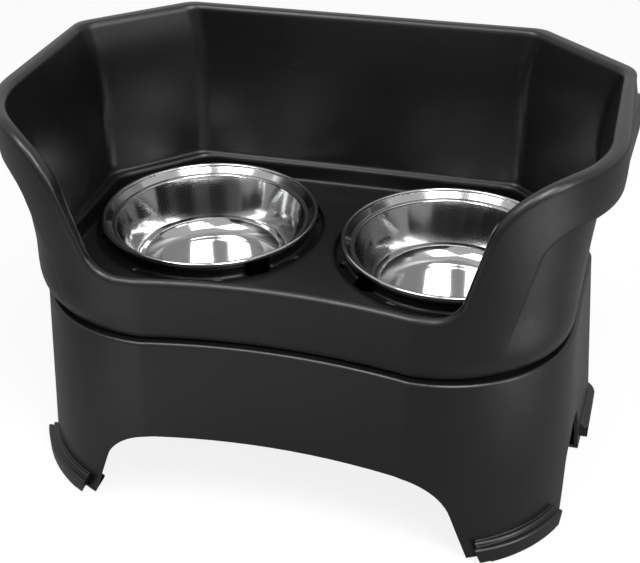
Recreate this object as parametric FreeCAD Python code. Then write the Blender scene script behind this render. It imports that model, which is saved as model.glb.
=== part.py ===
import FreeCAD, Part
import math
import os

# Elevated feeder for a large dog: a moulded base with a spill reservoir on four legs, a nested tray with
# high splash walls, and two lift-out steel bowls. Millimetres. +X is the feeder's right, -Y its front.
# While it is modelled, the bowls' centres lie on y = 0 and the floor is z = 0.

V = FreeCAD.Vector
ORIGIN = V(0, 0, 0)
UP = V(0, 0, 1)
ACROSS = V(1, 0, 0)
QUARTER = math.pi / 2
EIGHTH = math.radians(22.5)

# Bowls
BOWL_RIM_R = 117.0
BOWL_DEPTH = 75.0
BOWL_SHEET = 1.2
BOWL_BEAD_R = 2.6
BOWL_BEAD_SHORT = 0.65     # the sheet ends in the bead, this far short of its centre each way
BOWL_LIP = 10.0            # the sloped lip is this wide and this deep
BOWL_SHOULDER = 4.0        # flat step under the lip, which rests on the tray's collar
BOWL_BEND = 1.2            # tightest bend of the sheet
BOWL_TAPER = 16.0          # the wall draws in this much towards the foot
BOWL_FOOT_ROUND = 24.0
BOWL_GAP = 31.4            # between the two rims
BOWL_X = BOWL_RIM_R + BOWL_GAP / 2
BOWL_BODY_R = BOWL_RIM_R - BOWL_LIP - BOWL_SHOULDER

# Heights, from the base's rim upwards and from the bowls downwards
PAD_T = 2.5
BASE_RIM_Z = 199.5
SEAM_H = 3.5               # shadow gap between the base's rim and the tray's wall
DECK_H = 7.0               # the deck lies this far above the base's rim
COLLAR_H = 6.5             # the bowls' seats stand this far above the deck
LEDGE_H = 20.5             # ledge round the deck
BELLY_H = 20.0             # the tray's wall swells out over this height
FRONT_WALL_H = 64.0
SPLASH_WALL_H = 200.0
SKIRT_H = 47.0             # depth of the turned-down skirt at the rim
RESERVOIR_H = 40.0         # room for spilled water under the bowls
TRAY_BOTTOM_Z = BASE_RIM_Z + SEAM_H
BELLY_Z = TRAY_BOTTOM_Z + BELLY_H
FRONT_RIM_Z = TRAY_BOTTOM_Z + FRONT_WALL_H
TRAY_RIM_Z = TRAY_BOTTOM_Z + SPLASH_WALL_H
SKIRT_Z = TRAY_RIM_Z - SKIRT_H
DECK_Z = BASE_RIM_Z + DECK_H
LEDGE_Z = DECK_Z + LEDGE_H
BOWL_SHOULDER_Z = DECK_Z + COLLAR_H
BOWL_TOP_Z = BOWL_SHOULDER_Z + BOWL_LIP
BOWL_FOOT_Z = BOWL_TOP_Z - BOWL_DEPTH
BASIN_FLOOR_Z = BOWL_FOOT_Z - RESERVOIR_H

# Plan of the tray's ledge, set by the room round the bowls; the other outlines are given from it
SIDE_MARGIN = 6.3
FRONT_MARGIN = 89.0
BACK_MARGIN = 6.0
CORNER_MARGIN = 2.35
LEDGE_X = BOWL_X + BOWL_RIM_R + SIDE_MARGIN
LEDGE_FRONT = -BOWL_RIM_R - FRONT_MARGIN
LEDGE_BACK = BOWL_RIM_R + BACK_MARGIN
LEDGE_CORNER = BOWL_X + math.sqrt(2) * (BOWL_RIM_R + CORNER_MARGIN) - LEDGE_X
CREASE_IN = 5.7            # the concave front meets the front lobes this far inside the bowls' centres
CREASE_X = BOWL_X - CREASE_IN
CREASE_ROUND = 25.0
FRONT_SAG = 13.0
DIP_R = (CREASE_X**2 + FRONT_SAG**2) / (2 * FRONT_SAG)
REAR_ROUND = 26.0
LEAST_ROUND = 5.0          # no inner corner is sharper than this

# Base
BASE_WALL = 4.0
BASE_RIM_W = 12.0
BASE_RIM_ROUND = 2.6
BASIN_DRAFT = 6.0
ARCH_CLEAR = 10.0          # material between the arches and the reservoir's underside
ARCH_R = 60.0
ARCH_SHOULDER = 76.0       # from the arch's foot to its level part
FRONT_LEG_W = 63.0         # from the ledge's side to the arch's foot
BACK_LEG_W = 70.0
SIDE_ARCH_Y = -87.0
SIDE_ARCH_HALF = 51.0
SIDE_ARCH_DROP = 16.0      # lower than the front arch
SIDE_ARCH_R = 34.0
SIDE_ARCH_SHOULDER = 46.0
ARCH_Z = BASIN_FLOOR_Z - BASE_WALL - ARCH_CLEAR
FOOT_FLANGE_W = 20.0
RIDGE_STEP = 6.0           # each of the two steps of the ridge round a foot
RIDGE_LOW_H = 16.5
RIDGE_HIGH_H = 20.0
RIDGE_BEVEL = 1.5
RIDGE_END_GAP = 14.0       # the ridge stops this far from the front and back arches
RIDGE_SIDE_GAP = 22.0      # and this far from the side arches
PAD_INSET = 1.0
PAD_W = 26.0
PAD_FRONT_IN = 40.0        # how far the pads reach in from the ledge's side, front and corner
PAD_FRONT_BACK = 43.0
PAD_REAR_IN = 36.0
PAD_REAR_FRONT = 25.5

# Tray
LEDGE_DRAFT = 1.5
DECK_T = 4.0
SEAT_INSET = 9.0           # the tray bears on the base's rim this far inside its edge
NEST_CLEAR = 0.8
NEST_DEPTH = 18.0
NEST_WALL = 3.5
TRAY_WALL = 4.5            # thickness of the wall under the skirt
RIM_ROUND = 4.0
RIM_DROP_BACK_Y = -90.0    # the rim drops only in front of this
RIM_LOW_OUT = 15.0         # the rim starts to rise this far outside the front creases
RIM_LOW_R = 30.0           # the rim's two bends where it drops to the low front
RIM_HIGH_R = 67.0
RIM_SPREAD = 13.0          # the bends' centres lie this much further apart than their radii
RIM_LOW_X = CREASE_X + RIM_LOW_OUT
RIM_HIGH_X = RIM_LOW_X + RIM_LOW_R + RIM_HIGH_R + RIM_SPREAD
WING_FOOT_IN = 56.0        # the skirt's front edge runs out at the seam, this far inside the ledge's side
WING_BEND_R = 33.0
WING_BEND_OUT = 6.0
WING_START_Y = -75.0       # from here back to its end a wing stands out more and more
WING_END_Y = 15.0
WING_STEP = 5.0            # step at the wing's rear end
WING_ROOT = 12.0           # the proud part reaches this far into the skirt
RIM_LIP = 10.0             # height of the rim's lip over the proud part
WELL_GAP = 6.0             # from a bowl's rim to the edge of its well
WELL_DEPTH = 6.0
WELL_WALL = 3.0
COLLAR_W = 5.0
COLLAR_LEAD = 1.5          # bevel round the collar's mouth, clear of the bend under the bowl's lip
BOWL_FIT = 0.4             # radial clearance of a bowl in its collar
NOTCH_R = 14.0
NOTCH_OUT = 1.0            # a finger notch is centred this far outside the bowl's body
SLOT_L = 12.0
SLOT_W = 4.0
SLOT_COUNT = 8
WELL_R = BOWL_RIM_R + WELL_GAP

TOUCH = 0.01
PAST = 1.0                 # cutters run this far past the faces that they open
FAR = 500.0                # past the part in every direction
FLARE_SECTIONS = 11
SAMPLE = 0.5               # how finely points are taken from a shape

OUTLINE_SIZES = ("front", "half_width", "rear", "corner", "back", "lobe_x", "rear_round")


class Outline:
    """Plan outline: concave front, round front lobes, straight sides and 45 degree rear corners."""

    def __init__(self, front, half_width, rear, corner, back, lobe_x, rear_round=REAR_ROUND):
        self.front = front              # y of the lobes' fronts
        self.half_width = half_width    # x where the lobe would turn straight back
        self.rear = rear                # x of the corner between side and chamfer
        self.corner = corner            # y of that corner
        self.back = back                # y of the back
        self.lobe_x = lobe_x            # x of the lobe's centre
        self.rear_round = rear_round

    def grown(self, by):
        corner = self.corner + by * math.tan(EIGHTH)
        rear_round = max(self.rear_round + by, LEAST_ROUND)
        return Outline(self.front - by, self.half_width + by, self.rear + by, corner,
                       self.back + by, self.lobe_x, rear_round)

    def mixed(self, other, t):
        pairs = [(getattr(self, name), getattr(other, name)) for name in OUTLINE_SIZES]
        return Outline(*[a + t * (b - a) for a, b in pairs])

    def wire(self, z):
        radius = self.half_width - self.lobe_x
        centre = V(self.lobe_x, self.front + radius, z)
        corner = V(self.rear, self.corner, z)
        start = tangent_point(centre, radius, corner, -1)
        back = V(self.rear - (self.back - self.corner), self.back, z)
        lobe = arc(centre, radius, -QUARTER, bearing(centre, start))
        rear = rounded_path([start, corner, back, V(0, self.back, z)], [self.rear_round] * 2)
        dip = V(0, self.front + FRONT_SAG - DIP_R, z)
        crease_y = self.front + CREASE_ROUND
        crease = V(math.sqrt((DIP_R + CREASE_ROUND)**2 - (crease_y - dip.y)**2), crease_y, z)
        meet = bearing(dip, crease)
        half = [arc(crease, CREASE_ROUND, meet - math.pi, -QUARTER),
                line(V(crease.x, self.front, z), V(self.lobe_x, self.front, z)), lobe] + rear
        edges = [arc(dip, DIP_R, meet, math.pi - meet)] + half + mirrored(half)
        return Part.Wire(Part.sortEdges(edges)[0])


def from_ledge(front, side, rear, corner, back, lobe):
    """Outline this far outside the ledge's, with its lobes centred this far outside the bowls."""
    return Outline(LEDGE_FRONT - front, LEDGE_X + side, LEDGE_X + rear,
                   LEDGE_CORNER + corner, LEDGE_BACK + back, BOWL_X + lobe)


def on_circle(centre, radius, angle):
    return centre + V(math.cos(angle), math.sin(angle), 0) * radius


def bearing(centre, point):
    return math.atan2(point.y - centre.y, point.x - centre.x)


def tangent_point(centre, radius, point, turn_sign):
    """Where a line from point touches the circle. Of the two, turn_sign picks one (+1 anticlockwise)."""
    turn = math.acos(radius / (point - centre).Length)
    return on_circle(centre, radius, bearing(centre, point) + turn_sign * turn)


def line(a, b):
    return Part.LineSegment(a, b).toShape()


def arc(centre, radius, start, end):
    """Arc in a level plane, between two angles."""
    angles = (start, (start + end) / 2, end)
    return Part.Arc(*[on_circle(centre, radius, angle) for angle in angles]).toShape()


def mirrored(shapes):
    return [shape.mirror(ORIGIN, ACROSS) for shape in shapes]


def rounded_path(points, radii):
    """Edges of an open path whose inner corners are rounded."""
    edges = []
    start = points[0]
    for before, corner, after, radius in zip(points, points[1:], points[2:], radii):
        back = (before - corner).normalize()
        ahead = (after - corner).normalize()
        half = back.getAngle(ahead) / 2
        reach = radius / math.tan(half)
        first = corner + back * reach
        last = corner + ahead * reach
        bisector = (back + ahead).normalize()
        middle = corner + bisector * (radius / math.sin(half) - radius)
        edges.append(line(start, first))
        edges.append(Part.Arc(first, middle, last).toShape())
        start = last
    edges.append(line(start, points[-1]))
    return edges


def loft(levels, smooth=False):
    """Solid through (outline, height) pairs."""
    return Part.makeLoft([outline.wire(z) for outline, z in levels], True, not smooth)


def flared(keys, z):
    """Outline at height z on a smooth flare through (outline, height) pairs."""
    upper = max(1, min(len(keys) - 1, sum(1 for _, height in keys if height < z)))
    spots = [max(0, upper - 2), upper - 1, upper, min(len(keys) - 1, upper + 1)]
    (a, za), (b, zb), (c, zc), (d, zd) = [keys[i] for i in spots]
    t = (z - zb) / (zc - zb)

    def value(name):
        va, vb, vc, vd = [getattr(o, name) for o in (a, b, c, d)]
        slope_b = (vc - va) / (zc - za) * (zc - zb)
        slope_c = (vd - vb) / (zd - zb) * (zc - zb)
        return ((2 * t**3 - 3 * t**2 + 1) * vb + (t**3 - 2 * t**2 + t) * slope_b
                + (3 * t**2 - 2 * t**3) * vc + (t**3 - t**2) * slope_c)

    return Outline(*[value(name) for name in OUTLINE_SIZES])


def flare(keys):
    """Smooth solid on the flare through the keys."""
    low = keys[0][1]
    high = keys[-1][1]
    heights = [low + (high - low) * i / (FLARE_SECTIONS - 1) for i in range(FLARE_SECTIONS)]
    return loft([(flared(keys, z), z) for z in heights], smooth=True)


def standing_prism(edges, turn, start, along):
    """Prism on a profile drawn flat in (across, up), stood upright and turned about the vertical."""
    face = Part.Face(Part.Wire(Part.sortEdges(edges)[0]))
    face.rotate(ORIGIN, ACROSS, 90)
    face.rotate(ORIGIN, UP, turn)
    face.translate(start)
    return face.extrude(along)


def box(low, high):
    return Part.makeBox(high.x - low.x, high.y - low.y, high.z - low.z, low)


def drum(radius, x, y, low, high):
    return Part.makeCylinder(radius, high - low, V(x, y, low))


LEDGE = from_ledge(front=0.0, side=0.0, rear=0.0, corner=0.0, back=0.0, lobe=13.3)
BASE_TOP = from_ledge(front=20.0, side=11.5, rear=19.0, corner=3.5, back=13.0, lobe=0.3)
BASE_FLOOR = from_ledge(front=33.5, side=26.5, rear=39.0, corner=10.5, back=27.0, lobe=0.3)
RIDGE = from_ledge(front=42.5, side=35.5, rear=44.0, corner=13.0, back=33.0, lobe=0.3)
SKIN_FOOT = from_ledge(front=14.0, side=7.0, rear=16.0, corner=2.0, back=10.0, lobe=2.3)
SKIN_BELLY = from_ledge(front=16.5, side=14.0, rear=19.0, corner=2.5, back=13.0, lobe=19.3)
SKIN_LOW = from_ledge(front=21.0, side=21.0, rear=25.0, corner=3.5, back=18.0, lobe=17.3)
SKIN_SKIRT = from_ledge(front=37.0, side=35.0, rear=41.5, corner=5.5, back=30.0, lobe=13.3)
SKIN_RIM = from_ledge(front=42.0, side=34.5, rear=37.0, corner=8.5, back=27.0, lobe=13.3)
WALL_FOOT = from_ledge(front=13.0, side=6.0, rear=15.0, corner=2.0, back=9.0, lobe=2.3)
WALL_BELLY = from_ledge(front=15.0, side=8.5, rear=17.0, corner=2.5, back=11.0, lobe=23.3)
WALL_LOW = from_ledge(front=15.5, side=10.5, rear=18.0, corner=2.5, back=13.0, lobe=21.3)
WALL_SKIRT = from_ledge(front=26.0, side=17.5, rear=19.0, corner=2.5, back=16.0, lobe=17.3)
INSIDE_RIM = from_ledge(front=31.0, side=19.0, rear=25.0, corner=-2.5, back=12.0, lobe=13.3)


def base_outline(z):
    return BASE_FLOOR.mixed(BASE_TOP, z / BASE_RIM_Z)


def basin_outline(z):
    """Inside of the reservoir, which narrows downwards."""
    down = (BASE_RIM_Z - z) / (BASE_RIM_Z - BASIN_FLOOR_Z)
    return BASE_TOP.grown(-BASE_RIM_W - BASIN_DRAFT * down)


def arch(half, top, radius, shoulder):
    """Arch profile, drawn flat: level crown, round shoulders and legs that lean out past the floor."""
    bend = V(half - shoulder, top - radius, 0)
    foot = V(half, 0, 0)
    touch = tangent_point(bend, radius, foot, 1)
    low = foot + (foot - touch).normalize() * radius
    side = [line(low, touch), arc(bend, radius, bearing(bend, touch), QUARTER)]
    crown = line(V(bend.x, top, 0), V(-bend.x, top, 0))
    return side + mirrored(side) + [crown, line(V(-low.x, low.y, 0), low)]


def arches(wider=0.0, side_wider=0.0):
    """Cutters for the front, back and side arches, with each foot moved out by the given amounts."""
    front = arch(LEDGE_X - FRONT_LEG_W + wider, ARCH_Z, ARCH_R, ARCH_SHOULDER)
    back = arch(LEDGE_X - BACK_LEG_W + wider, ARCH_Z, ARCH_R, ARCH_SHOULDER)
    side = arch(SIDE_ARCH_HALF + side_wider, ARCH_Z - SIDE_ARCH_DROP, SIDE_ARCH_R, SIDE_ARCH_SHOULDER)
    return [standing_prism(front, 0, V(0, -FAR, 0), V(0, FAR, 0)),
            standing_prism(back, 0, ORIGIN, V(0, FAR, 0)),
            standing_prism(side, 90, V(-FAR, SIDE_ARCH_Y, 0), V(2 * FAR, 0, 0))]


def foot_ridge(outline, height):
    """Raised band round the foot of the base, with a bevelled top edge."""
    top_z = PAD_T + height
    return loft([(outline, PAD_T), (outline, top_z - RIDGE_BEVEL), (outline.grown(-RIDGE_BEVEL), top_z)])


def lower_base():
    foot = base_outline(PAD_T)
    outer = loft([(foot, PAD_T), (BASE_TOP, BASE_RIM_Z)])
    rim = [edge for edge in outer.Edges if edge.BoundBox.ZMin > BASE_RIM_Z - TOUCH]
    outer = outer.makeFillet(BASE_RIM_ROUND, rim)
    basin = loft([(basin_outline(BASIN_FLOOR_Z), BASIN_FLOOR_Z),
                  (BASE_TOP.grown(-BASE_RIM_W), BASE_RIM_Z)])
    basin_skin = loft([(basin_outline(BASIN_FLOOR_Z).grown(BASE_WALL), BASIN_FLOOR_Z - BASE_WALL),
                       (BASE_TOP.grown(BASE_WALL - BASE_RIM_W), BASE_RIM_Z)])
    hollow_top = BASE_RIM_Z - BASE_WALL
    floor_z = PAD_T + BASE_WALL
    under = loft([(base_outline(floor_z).grown(-BASE_WALL), floor_z),
                  (base_outline(hollow_top).grown(-BASE_WALL), hollow_top)]).cut(basin_skin)
    foot_hole = loft([(foot.grown(-FOOT_FLANGE_W), 0), (foot.grown(-FOOT_FLANGE_W), floor_z)])
    shell = outer.cut(basin).cut(under).cut(foot_hole)
    ridge = foot_ridge(RIDGE, RIDGE_LOW_H).fuse(foot_ridge(RIDGE.grown(-RIDGE_STEP), RIDGE_HIGH_H))
    ridge = ridge.cut(loft([(foot.grown(-BASE_WALL / 2), 0), (foot.grown(-BASE_WALL / 2), BASE_RIM_Z)]))
    ridge = ridge.cut(arches(RIDGE_END_GAP, RIDGE_SIDE_GAP))
    return shell.cut(arches()).fuse(ridge).removeSplitter()


def foot_pad(side, rear):
    outer = RIDGE.grown(-PAD_INSET)
    inner = outer.grown(-PAD_W)
    ring = loft([(outer, 0), (outer, PAD_T)]).cut(loft([(inner, 0), (inner, PAD_T)]))
    if rear:
        corner = box(V(LEDGE_X - PAD_REAR_IN, LEDGE_CORNER - PAD_REAR_FRONT, 0), V(FAR, FAR, PAD_T))
    else:
        corner = box(V(LEDGE_X - PAD_FRONT_IN, -FAR, 0), V(FAR, LEDGE_FRONT + PAD_FRONT_BACK, PAD_T))
    pad = ring.common(corner)
    return pad if side > 0 else pad.mirror(ORIGIN, ACROSS)


def rim_cutter():
    """Everything above the rim's line, in front view: low front, steep rise, full height at the sides."""
    low = V(RIM_LOW_X, FRONT_RIM_Z + RIM_LOW_R, 0)
    high = V(RIM_HIGH_X, TRAY_RIM_Z - RIM_HIGH_R, 0)
    lean = bearing(low, high) + math.asin((RIM_LOW_R + RIM_HIGH_R) / (high - low).Length)
    top = V(RIM_HIGH_X, TRAY_RIM_Z + FAR, 0)
    side = [
        arc(low, RIM_LOW_R, -QUARTER, lean - QUARTER),
        line(on_circle(low, RIM_LOW_R, lean - QUARTER), on_circle(high, RIM_HIGH_R, lean + QUARTER)),
        arc(high, RIM_HIGH_R, lean + QUARTER, QUARTER),
        line(V(RIM_HIGH_X, TRAY_RIM_Z, 0), top),
    ]
    front = line(V(-RIM_LOW_X, FRONT_RIM_Z, 0), V(RIM_LOW_X, FRONT_RIM_Z, 0))
    profile = side + mirrored(side) + [front, line(V(-top.x, top.y, 0), top)]
    return standing_prism(profile, 0, V(0, -FAR, 0), V(0, FAR + RIM_DROP_BACK_Y, 0))


def under_skirt():
    """Space under the skirt, drawn in front view on both sides, and as high all across the back."""
    bend = V(LEDGE_X + WING_BEND_OUT, SKIRT_Z - WING_BEND_R, 0)
    foot = V(LEDGE_X - WING_FOOT_IN, TRAY_BOTTOM_Z, 0)
    touch = tangent_point(bend, WING_BEND_R, foot, -1)
    low = foot + (foot - touch).normalize() * WING_BEND_R
    crown = V(bend.x, SKIRT_Z, 0)
    high_out = V(FAR, SKIRT_Z, 0)
    low_out = V(FAR, low.y, 0)
    profile = [line(low, touch), arc(bend, WING_BEND_R, bearing(bend, touch), QUARTER),
               line(crown, high_out), line(high_out, low_out), line(low_out, low)]
    right = standing_prism(profile, 0, V(0, -FAR, 0), V(0, 2 * FAR, 0))
    rear = box(V(-FAR, 0, low.y), V(FAR, FAR, SKIRT_Z))
    return right.fuse(mirrored([right]) + [rear])


def wing_ends(skin):
    """The wings' proud rear ends: the skin turned out a little, under the rim's lip."""
    pivot = V(SKIN_SKIRT.half_width, WING_START_Y, 0)
    turned = skin.copy()
    turned.rotate(pivot, UP, -math.degrees(math.asin(WING_STEP / (WING_END_Y - WING_START_Y))))
    low = V(pivot.x - WING_ROOT, WING_START_Y, SKIRT_Z)
    right = turned.common(box(low, V(FAR, WING_END_Y, TRAY_RIM_Z - RIM_LIP)))
    return [right] + mirrored([right])


def rim_edges(wall, cutter):
    """Outer and inner edges of the rim's top, all the way round."""
    def on_rim(p):
        level = abs(p.z - TRAY_RIM_Z) < TOUCH
        return level or (p.z > FRONT_RIM_Z - TOUCH and cutter.distToShape(Part.Vertex(p))[0] < TOUCH)

    seen = {}
    for face in wall.Faces:
        if all(on_rim(p) for p in face.tessellate(SAMPLE)[0]):
            for edge in face.Edges:
                seen.setdefault(edge.hashCode(), []).append(edge)
    return [edges[0] for edges in seen.values() if len(edges) == 1]


def tray_wall():
    """Splash wall with its low front, skirt and rounded rim, filled up to the ledge."""
    skin_keys = [(SKIN_FOOT, TRAY_BOTTOM_Z), (SKIN_BELLY, BELLY_Z), (SKIN_LOW, FRONT_RIM_Z),
                 (SKIN_SKIRT, SKIRT_Z), (SKIN_RIM, TRAY_RIM_Z)]
    wall_keys = [(WALL_FOOT, TRAY_BOTTOM_Z - PAST), (WALL_BELLY, BELLY_Z), (WALL_LOW, FRONT_RIM_Z),
                 (WALL_SKIRT, SKIRT_Z + PAST)]
    inside_keys = [(outline.grown(-TRAY_WALL), z) for outline, z in wall_keys]
    inside_keys += [(INSIDE_RIM, TRAY_RIM_Z), (INSIDE_RIM, TRAY_RIM_Z + RIM_LIP)]
    skin = flare(skin_keys)
    recess = skin.cut(flare(wall_keys)).common(under_skirt())
    inside = flare(inside_keys).cut(box(V(-FAR, -FAR, 0), V(FAR, FAR, LEDGE_Z)))
    cutter = rim_cutter()
    wall = skin.cut(recess).cut(inside).cut(cutter)
    return wall.makeFillet(RIM_ROUND, rim_edges(wall, cutter)).fuse(wing_ends(skin))


def drain_slot(x, radius, angle, low, high):
    """Round-ended slot, lying along a well's rim."""
    half = (SLOT_L - SLOT_W) / 2
    bar = box(V(-SLOT_W / 2, -half, low), V(SLOT_W / 2, half, high))
    slot = bar.fuse([drum(SLOT_W / 2, 0, -half, low, high), drum(SLOT_W / 2, 0, half, low, high)])
    slot.translate(V(radius, 0, 0))
    slot.rotate(ORIGIN, UP, angle)
    slot.translate(V(x, 0, 0))
    return slot


def upper_tray():
    nest_z = BASE_RIM_Z - NEST_DEPTH
    nest_low = basin_outline(nest_z).grown(-NEST_CLEAR)
    nest_high = basin_outline(BASE_RIM_Z).grown(-NEST_CLEAR)
    seat = BASE_TOP.grown(-SEAT_INSET)
    deck_back = DECK_Z - DECK_T
    well_z = DECK_Z - WELL_DEPTH
    well_back = well_z - DECK_T
    collar_r = BOWL_BODY_R + BOWL_FIT
    ring_r = collar_r + COLLAR_W

    blank = tray_wall().fuse([loft([(seat, BASE_RIM_Z), (seat, LEDGE_Z - DECK_T)]),
                              loft([(nest_low, nest_z), (nest_high, BASE_RIM_Z)])])
    under = loft([(nest_low.grown(-NEST_WALL), nest_z), (nest_high.grown(-NEST_WALL), deck_back)])
    cuts = [loft([(LEDGE, DECK_Z), (LEDGE.grown(LEDGE_DRAFT), LEDGE_Z)])]
    collars = []
    through = []
    for side in (-1, 1):
        x = side * BOWL_X
        under = under.cut(drum(WELL_R + WELL_WALL, x, 0, well_back, deck_back))
        cuts.append(drum(WELL_R, x, 0, well_z, DECK_Z))
        collars.append(drum(ring_r, x, 0, well_back, BOWL_SHOULDER_Z))
        through.append(drum(collar_r, x, 0, nest_z, BOWL_TOP_Z))
        lead_foot = V(x, 0, BOWL_SHOULDER_Z - COLLAR_LEAD)
        through.append(Part.makeCone(collar_r, collar_r + 2 * COLLAR_LEAD, 2 * COLLAR_LEAD, lead_foot))
        notch = on_circle(V(x, 0, 0), BOWL_BODY_R + NOTCH_OUT, -QUARTER - side * QUARTER / 2)
        through.append(drum(NOTCH_R, notch.x, notch.y, nest_z, BOWL_TOP_Z))
        for i in range(SLOT_COUNT):
            angle = 360.0 * (i + 0.5) / SLOT_COUNT
            through.append(drain_slot(x, (ring_r + WELL_R) / 2, angle, well_back - PAST, well_z + PAST))
    return blank.cut(cuts + [under]).fuse(collars).cut(through).removeSplitter()


def beside(path, by):
    """Points of a path in the XZ plane, moved to its left by the given amount and mitred at the bends."""
    ways = [(after - before).normalize() for before, after in zip(path, path[1:])]
    normals = [V(-way.z, 0, way.x) for way in ways]
    moved = [path[0] + normals[0] * by]
    for point, before, after in zip(path[1:], normals, normals[1:]):
        moved.append(point + (before + after) * (by / (1 + before.dot(after))))
    return moved + [path[-1] + normals[-1] * by]


def bowl(side):
    """Pressed bowl: flat foot, drawn wall, shoulder, sloped lip and rolled bead."""
    bead = V(BOWL_RIM_R - BOWL_BEAD_R, 0, BOWL_TOP_Z - BOWL_BEAD_R)
    under = [
        V(0, 0, BOWL_FOOT_Z),
        V(BOWL_BODY_R - BOWL_TAPER, 0, BOWL_FOOT_Z),
        V(BOWL_BODY_R, 0, BOWL_SHOULDER_Z),
        V(BOWL_BODY_R + BOWL_SHOULDER, 0, BOWL_SHOULDER_Z),
        bead - V(1, 0, 1) * BOWL_BEAD_SHORT,
    ]
    inside = beside(under, BOWL_SHEET)
    outer = BOWL_BEND + BOWL_SHEET
    edges = rounded_path(under, [BOWL_FOOT_ROUND, BOWL_BEND, outer])
    edges += rounded_path(inside, [BOWL_FOOT_ROUND - BOWL_SHEET, outer, BOWL_BEND])
    edges += [line(under[0], inside[0]), line(under[-1], inside[-1])]
    sheet = Part.Face(Part.Wire(Part.sortEdges(edges)[0]))
    body = sheet.revolve(ORIGIN, UP, 360)
    body = body.fuse(Part.makeTorus(bead.x, BOWL_BEAD_R, V(0, 0, bead.z), UP))
    body.translate(V(side * BOWL_X, 0, 0))
    return body


def main():
    nodes = {
        "lower_base": lower_base(),
        "upper_tray": upper_tray(),
        "water_bowl": bowl(-1),
        "food_bowl": bowl(1),
        "foot_pad_front_left": foot_pad(-1, False),
        "foot_pad_front_right": foot_pad(1, False),
        "foot_pad_rear_left": foot_pad(-1, True),
        "foot_pad_rear_right": foot_pad(1, True),
    }
    points = [p for shape in nodes.values() for p in shape.tessellate(SAMPLE)[0]]
    extent = FreeCAD.BoundBox()
    for point in points:
        extent.add(point)
    for name, shape in nodes.items():
        shape.translate(V(0, -extent.Center.y, 0))
        print(name, shape.isValid(), len(shape.Solids), round(shape.Volume / 1000), "cm3")
        shape.exportStep("parts/" + name + ".step")
    print("size", extent.XLength, extent.YLength, extent.ZLength, "moved", -extent.Center.y)


os.makedirs("parts", exist_ok=True)
main()
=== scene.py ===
"""Studio picture of the elevated dog feeder: materials, floor, light and camera round the CAD part.

Metres, in the CAD part's own frame: +X is the feeder's right, -Y its open front, z = 0 the floor.
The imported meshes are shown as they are, and no shape is added to them.
"""

import math

import bpy
from mathutils import Matrix, Vector


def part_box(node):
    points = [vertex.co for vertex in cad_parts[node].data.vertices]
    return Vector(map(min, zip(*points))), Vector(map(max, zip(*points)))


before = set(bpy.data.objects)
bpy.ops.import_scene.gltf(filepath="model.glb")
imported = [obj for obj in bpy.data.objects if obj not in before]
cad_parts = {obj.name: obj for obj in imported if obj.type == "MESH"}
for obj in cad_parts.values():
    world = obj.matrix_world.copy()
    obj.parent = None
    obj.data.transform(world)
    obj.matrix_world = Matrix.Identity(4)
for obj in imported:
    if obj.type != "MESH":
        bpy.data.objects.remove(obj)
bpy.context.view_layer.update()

# Camera, fitted to the photograph: pixels, millimetres, then metres and degrees.
IMAGE_WIDTH = 640
FOCAL_PIXELS = 1121.5
SENSOR = 36.0
CAMERA_PLACE = Vector((0.2494, -0.9751, 0.7974))
CAMERA_AZIMUTH = 14.34
CAMERA_ELEVATION = 31.77
CAMERA_ROLL = -0.2

# CAD nodes by material. A plastic node has the radius that its edges are shaded with.
PLASTIC_EDGES = {"lower_base": 0.002, "upper_tray": 0.007}
STEEL_NODES = ("water_bowl", "food_bowl")
PAD_NODES = (
    "foot_pad_front_left",
    "foot_pad_front_right",
    "foot_pad_rear_left",
    "foot_pad_rear_right",
)

# Spans of a noise's values: most of them, nearly all, and the higher ones, which make patches.
MOST = (0.3, 0.7)
NEARLY_ALL = (0.25, 0.75)
PATCHES = (0.35, 0.75)
SMALL_PATCHES = (0.4, 0.7)

# Cosine of a bevelled normal's turn from the true one, on a flat face and on a worn edge.
WEAR_SPAN = (0.97, 0.75)
WEAR_SAMPLES = 4

# In the materials, ROUGH and SHADE are the spans of roughness and of a mix that a noise gives,
# and BUMP is a bump's strength and height.
BLACK = (0.0038, 0.0038, 0.0040, 1.0)
BLACK_WORN = (0.0090, 0.0090, 0.0090, 1.0)
PLASTIC_IOR = 1.54
EDGE_SAMPLES = 8
GRAIN_SCALE = 1500.0
GRAIN_DETAIL = 2.0
GRAIN_ROUGH = (-0.03, 0.03)
GRAIN_BUMP = (0.06, 0.0003)
FLOW_SCALE = 9.0
FLOW_DETAIL = 4.0
FLOW_ROUGH = (0.27, 0.33)
FLOW_SHADE = (0.0, 0.25)
RUB_SCALE = 60.0
RUB_RADIUS = 0.0025
RUB_SHARE = 0.5

STEEL = (0.56, 0.562, 0.565, 1.0)
STEEL_SHADE = (0.44, 0.443, 0.447, 1.0)
TURNED_SCALE = 700.0
TURNED_DETAIL = 1.0
TURNED_ROUGH = (-0.01, 0.015)
TURNED_BUMP = (0.006, 0.0001)
SMUDGE_SCALE = 22.0
SMUDGE_DETAIL = 4.0
SMUDGE_ROUGH = (0.07, 0.11)
SMUDGE_SHADE = (0.0, 0.35)

RUBBER = (0.008, 0.008, 0.008, 1.0)
RUBBER_DUST = (0.022, 0.021, 0.020, 1.0)
RUBBER_IOR = 1.5
PEBBLE_SCALE = 700.0
PEBBLE_ROUGH = (0.72, 0.88)
PEBBLE_BUMP = (0.3, 0.0004)
DUST_SCALE = 90.0
DUST_RADIUS = 0.001

# Floor and world. IN_MIRRORS is the share of the camera's white that reflections find.
WHITE = (1.0, 1.0, 1.0, 1.0)
FLOOR = (0.13, 0.13, 0.13, 1.0)
FLOOR_SPECK = (0.12805, 0.12805, 0.12805, 1.0)
FLOOR_SIZE = 30.0
FLOOR_ROUGH = 0.8
FLOOR_LIFT = 0.86
FLOOR_IN_MIRRORS = 0.12
SPECK_SCALE = 180.0
WORLD_LIGHT = 0.15
WORLD_IN_MIRRORS = 0.6

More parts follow.
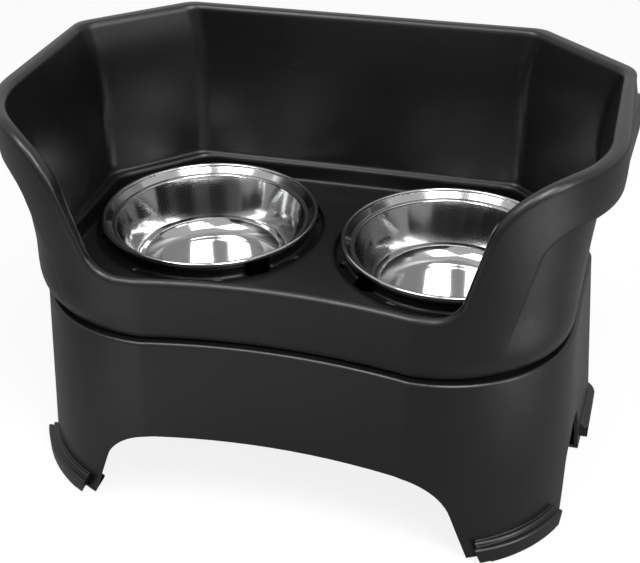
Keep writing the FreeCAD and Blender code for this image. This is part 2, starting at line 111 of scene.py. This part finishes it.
# Softboxes: place, width, height and watts. All of them face one point of the feeder.
SOFTBOX_AIM = Vector((0.0, 0.0, 0.2))
SOFTBOXES = {
    "top_left_box": ((-0.60, -0.75, 1.95), 0.75, 1.1, 20.0),
    "top_right_box": ((0.60, -0.75, 1.95), 0.75, 1.1, 27.0),
    "high_right_box": ((1.1, -1.2, 1.6), 0.7, 0.7, 8.0),
    "right_box": ((1.6, -0.70, 0.75), 0.5, 1.0, 9.0),
}

# Pools of light on the floor: place, the lamp's cone in degrees, and watts.
FLOOR_POOLS = {
    "right_pool": ((0.76, -0.34), 17.0, 1700.0),
    "front_pool": ((-0.28, -0.52), 15.0, 650.0),
}
POOL_LAMP_Z = 2.0
POOL_LAMP_RADIUS = 0.15
POOL_BLEND = 1.0

# A Mix node's colour sockets, by number: its sockets for other types have the same names.
MIX_A, MIX_B, MIX_RESULT = 6, 7, 2


class Nodes:
    """A node tree, with short calls to add and join nodes.

    Keywords name a node's input sockets, with _ for a space.
    """

    def __init__(self, tree):
        self.tree = tree

    def join(self, value, socket):
        """Link a socket to another node's output, or set it to a constant."""
        if isinstance(value, bpy.types.NodeSocket):
            self.tree.links.new(value, socket)
        else:
            socket.default_value = value

    def feed(self, node, **inputs):
        for name, value in inputs.items():
            self.join(value, node.inputs[name.replace("_", " ")])

    def add(self, kind, **inputs):
        node = self.tree.nodes.new(kind)
        self.feed(node, **inputs)
        return node

    def place(self):
        return self.add("ShaderNodeTexCoord").outputs["Object"]

    def noise(self, scale, detail=3.0, vector=None):
        node = self.add("ShaderNodeTexNoise", Scale=scale, Detail=detail)
        self.feed(node, Vector=vector or self.place())
        return node.outputs["Fac"]

    def ramp(self, value, span, result=(0.0, 1.0)):
        """A span of values stretched to the result's span, and held at its ends."""
        node = self.add("ShaderNodeMapRange", Value=value, From_Min=span[0], From_Max=span[1],
                        To_Min=result[0], To_Max=result[1])
        return node.outputs["Result"]

    def mix(self, factor, a, b):
        node = self.add("ShaderNodeMix")
        node.data_type = "RGBA"
        self.feed(node, Factor=factor)
        self.join(a, node.inputs[MIX_A])
        self.join(b, node.inputs[MIX_B])
        return node.outputs[MIX_RESULT]

    def maths(self, operation, *values):
        node = self.add("ShaderNodeMath")
        node.operation = operation
        for value, socket in zip(values, node.inputs):
            self.join(value, socket)
        return node.outputs["Value"]

    def bevel(self, radius, samples):
        """The normal, as if edges were rounded."""
        node = self.add("ShaderNodeBevel", Radius=radius)
        node.samples = samples
        return node.outputs["Normal"]

    def bump(self, height, strength, distance, normal=None):
        node = self.add("ShaderNodeBump", Strength=strength, Distance=distance, Height=height)
        if normal:
            self.feed(node, Normal=normal)
        return node.outputs["Normal"]


class Material(Nodes):
    """A new material's node tree, which ends in its one shader."""

    def __init__(self, name):
        self.material = bpy.data.materials.new(name)
        self.material.use_nodes = True
        super().__init__(self.material.node_tree)

    def finish(self, **inputs):
        self.feed(self.tree.nodes["Principled BSDF"], **inputs)
        return self.material


def edge_wear(nodes, radius):
    """1 on sharp edges and 0 on flat faces: how far a bevelled normal turns from the true one."""
    turn = nodes.add("ShaderNodeVectorMath")
    turn.operation = "DOT_PRODUCT"
    nodes.join(nodes.bevel(radius, WEAR_SAMPLES), turn.inputs[0])
    nodes.join(nodes.add("ShaderNodeNewGeometry").outputs["Normal"], turn.inputs[1])
    return nodes.ramp(turn.outputs["Value"], WEAR_SPAN)


def black_plastic(name, edge_round):
    """Satin moulded plastic: fine grain, soft changes of sheen, and rubbed, rounded edges."""
    nodes = Material(name)
    grain = nodes.noise(GRAIN_SCALE, GRAIN_DETAIL)
    flow = nodes.noise(FLOW_SCALE, FLOW_DETAIL)
    rub_patches = nodes.ramp(nodes.noise(RUB_SCALE), PATCHES)
    rub = nodes.maths("MULTIPLY", edge_wear(nodes, RUB_RADIUS), rub_patches)
    shade = nodes.mix(nodes.ramp(flow, MOST, FLOW_SHADE), BLACK, BLACK_WORN)
    flow_rough = nodes.ramp(flow, NEARLY_ALL, FLOW_ROUGH)
    grain_rough = nodes.ramp(grain, MOST, GRAIN_ROUGH)
    return nodes.finish(
        Base_Color=nodes.mix(nodes.maths("MULTIPLY", rub, RUB_SHARE), shade, BLACK_WORN),
        Roughness=nodes.maths("ADD", flow_rough, grain_rough),
        IOR=PLASTIC_IOR,
        Normal=nodes.bump(grain, *GRAIN_BUMP, nodes.bevel(edge_round, EDGE_SAMPLES)),
    )


def polished_steel(name, centre):
    """Polished stainless sheet, with smudges and faint turned lines about the bowl's axis."""
    nodes = Material(name)
    mapping = nodes.add("ShaderNodeMapping", Location=(-centre.x, -centre.y, 0.0))
    nodes.feed(mapping, Vector=nodes.place())
    x, y, z = nodes.add("ShaderNodeSeparateXYZ", Vector=mapping.outputs["Vector"]).outputs
    squares = [nodes.maths("MULTIPLY", side, side) for side in (x, y)]
    radius = nodes.maths("SQRT", nodes.maths("ADD", *squares))
    line = nodes.add("ShaderNodeCombineXYZ", X=radius, Y=z)
    turned = nodes.noise(TURNED_SCALE, TURNED_DETAIL, line.outputs["Vector"])
    smudge = nodes.noise(SMUDGE_SCALE, SMUDGE_DETAIL)
    smudge_rough = nodes.ramp(smudge, MOST, SMUDGE_ROUGH)
    turned_rough = nodes.ramp(turned, MOST, TURNED_ROUGH)
    return nodes.finish(
        Base_Color=nodes.mix(nodes.ramp(smudge, PATCHES, SMUDGE_SHADE), STEEL, STEEL_SHADE),
        Metallic=1.0,
        Roughness=nodes.maths("ADD", smudge_rough, turned_rough),
        Normal=nodes.bump(turned, *TURNED_BUMP),
    )


def pad_rubber():
    """Dull rubber with a pebbled skin and dust on its edges."""
    nodes = Material("pad_rubber")
    pebble = nodes.noise(PEBBLE_SCALE)
    dust_patches = nodes.ramp(nodes.noise(DUST_SCALE), SMALL_PATCHES)
    dust = nodes.maths("MULTIPLY", edge_wear(nodes, DUST_RADIUS), dust_patches)
    return nodes.finish(
        Base_Color=nodes.mix(dust, RUBBER, RUBBER_DUST),
        Roughness=nodes.ramp(pebble, MOST, PEBBLE_ROUGH),
        IOR=RUBBER_IOR,
        Normal=nodes.bump(pebble, *PEBBLE_BUMP),
    )


def dress(names, material):
    for name in names:
        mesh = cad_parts[name].data
        mesh.materials.clear()
        mesh.materials.append(material)


def seen_ray(nodes, in_mirrors):
    """How white a ray finds floor or world: 1 from the camera or through glass, less in mirrors."""
    path = nodes.add("ShaderNodeLightPath").outputs
    share = nodes.maths("MULTIPLY", path["Is Glossy Ray"], in_mirrors)
    for kind in ("Is Camera Ray", "Is Transmission Ray"):
        share = nodes.maths("MAXIMUM", share, path[kind])
    return share


def studio_floor():
    """Pale floor, lifted to white where it is seen, with the feeder's soft shadow."""
    nodes = Material("studio_floor")
    specks = nodes.ramp(nodes.noise(SPECK_SCALE), MOST)
    material = nodes.finish(
        Base_Color=nodes.mix(specks, FLOOR, FLOOR_SPECK),
        Roughness=FLOOR_ROUGH,
        Emission_Color=WHITE,
        Emission_Strength=nodes.maths("MULTIPLY", seen_ray(nodes, FLOOR_IN_MIRRORS), FLOOR_LIFT),
    )
    bpy.ops.mesh.primitive_plane_add(size=FLOOR_SIZE, location=(0.0, 0.0, 0.0))
    floor = bpy.context.object
    floor.name = "studio_floor"
    floor.data.materials.append(material)


def hang(light, place):
    lamp = bpy.data.objects.new(light.name, light)
    lamp.location = place
    bpy.context.scene.collection.objects.link(lamp)
    return lamp


def softbox(name, place, width, height, power):
    light = bpy.data.lights.new(name, "AREA")
    light.shape = "RECTANGLE"
    light.size = width
    light.size_y = height
    light.energy = power
    way = SOFTBOX_AIM - Vector(place)
    hang(light, place).rotation_euler = way.to_track_quat("-Z", "Y").to_euler()


def floor_pool(name, place, cone, power):
    """Soft round pool of light on the floor beside the feeder, which its glossy sides mirror."""
    light = bpy.data.lights.new(name, "SPOT")
    light.spot_size = math.radians(cone)
    light.spot_blend = POOL_BLEND
    light.shadow_soft_size = POOL_LAMP_RADIUS
    light.energy = power
    hang(light, (*place, POOL_LAMP_Z))


def white_world():
    """White to the camera, and softer as a source of light and in reflections."""
    world = bpy.data.worlds.new("white_world")
    world.use_nodes = True
    bpy.context.scene.world = world
    nodes = Nodes(world.node_tree)
    soft = nodes.tree.nodes["Background"]
    nodes.feed(soft, Color=WHITE, Strength=WORLD_LIGHT)
    white = nodes.add("ShaderNodeBackground", Color=WHITE)
    blend = nodes.add("ShaderNodeMixShader")
    sources = (seen_ray(nodes, WORLD_IN_MIRRORS), soft.outputs[0], white.outputs[0])
    for source, socket in zip(sources, blend.inputs):
        nodes.join(source, socket)
    nodes.feed(nodes.tree.nodes["World Output"], Surface=blend.outputs[0])


def photo_camera():
    """The photograph's camera. Before it is turned, a camera looks straight down."""
    camera = bpy.data.objects.new("photo_camera", bpy.data.cameras.new("photo_camera"))
    camera.data.sensor_width = SENSOR
    camera.data.lens = FOCAL_PIXELS / IMAGE_WIDTH * SENSOR
    turn = Matrix.Rotation(math.radians(CAMERA_AZIMUTH), 4, "Z")
    tilt = Matrix.Rotation(math.radians(90.0 - CAMERA_ELEVATION), 4, "X")
    roll = Matrix.Rotation(math.radians(CAMERA_ROLL), 4, "Z")
    camera.matrix_world = Matrix.Translation(CAMERA_PLACE) @ turn @ tilt @ roll
    bpy.context.scene.collection.objects.link(camera)
    bpy.context.scene.camera = camera


for node, edge_round in PLASTIC_EDGES.items():
    dress([node], black_plastic(node + "_plastic", edge_round))
for bowl in STEEL_NODES:
    low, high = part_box(bowl)
    dress([bowl], polished_steel(bowl + "_steel", (low + high) / 2))
dress(PAD_NODES, pad_rubber())
studio_floor()
for name, settings in SOFTBOXES.items():
    softbox(name, *settings)
for name, settings in FLOOR_POOLS.items():
    floor_pool(name, *settings)
white_world()
photo_camera()
bpy.context.scene.view_settings.view_transform = "Standard"
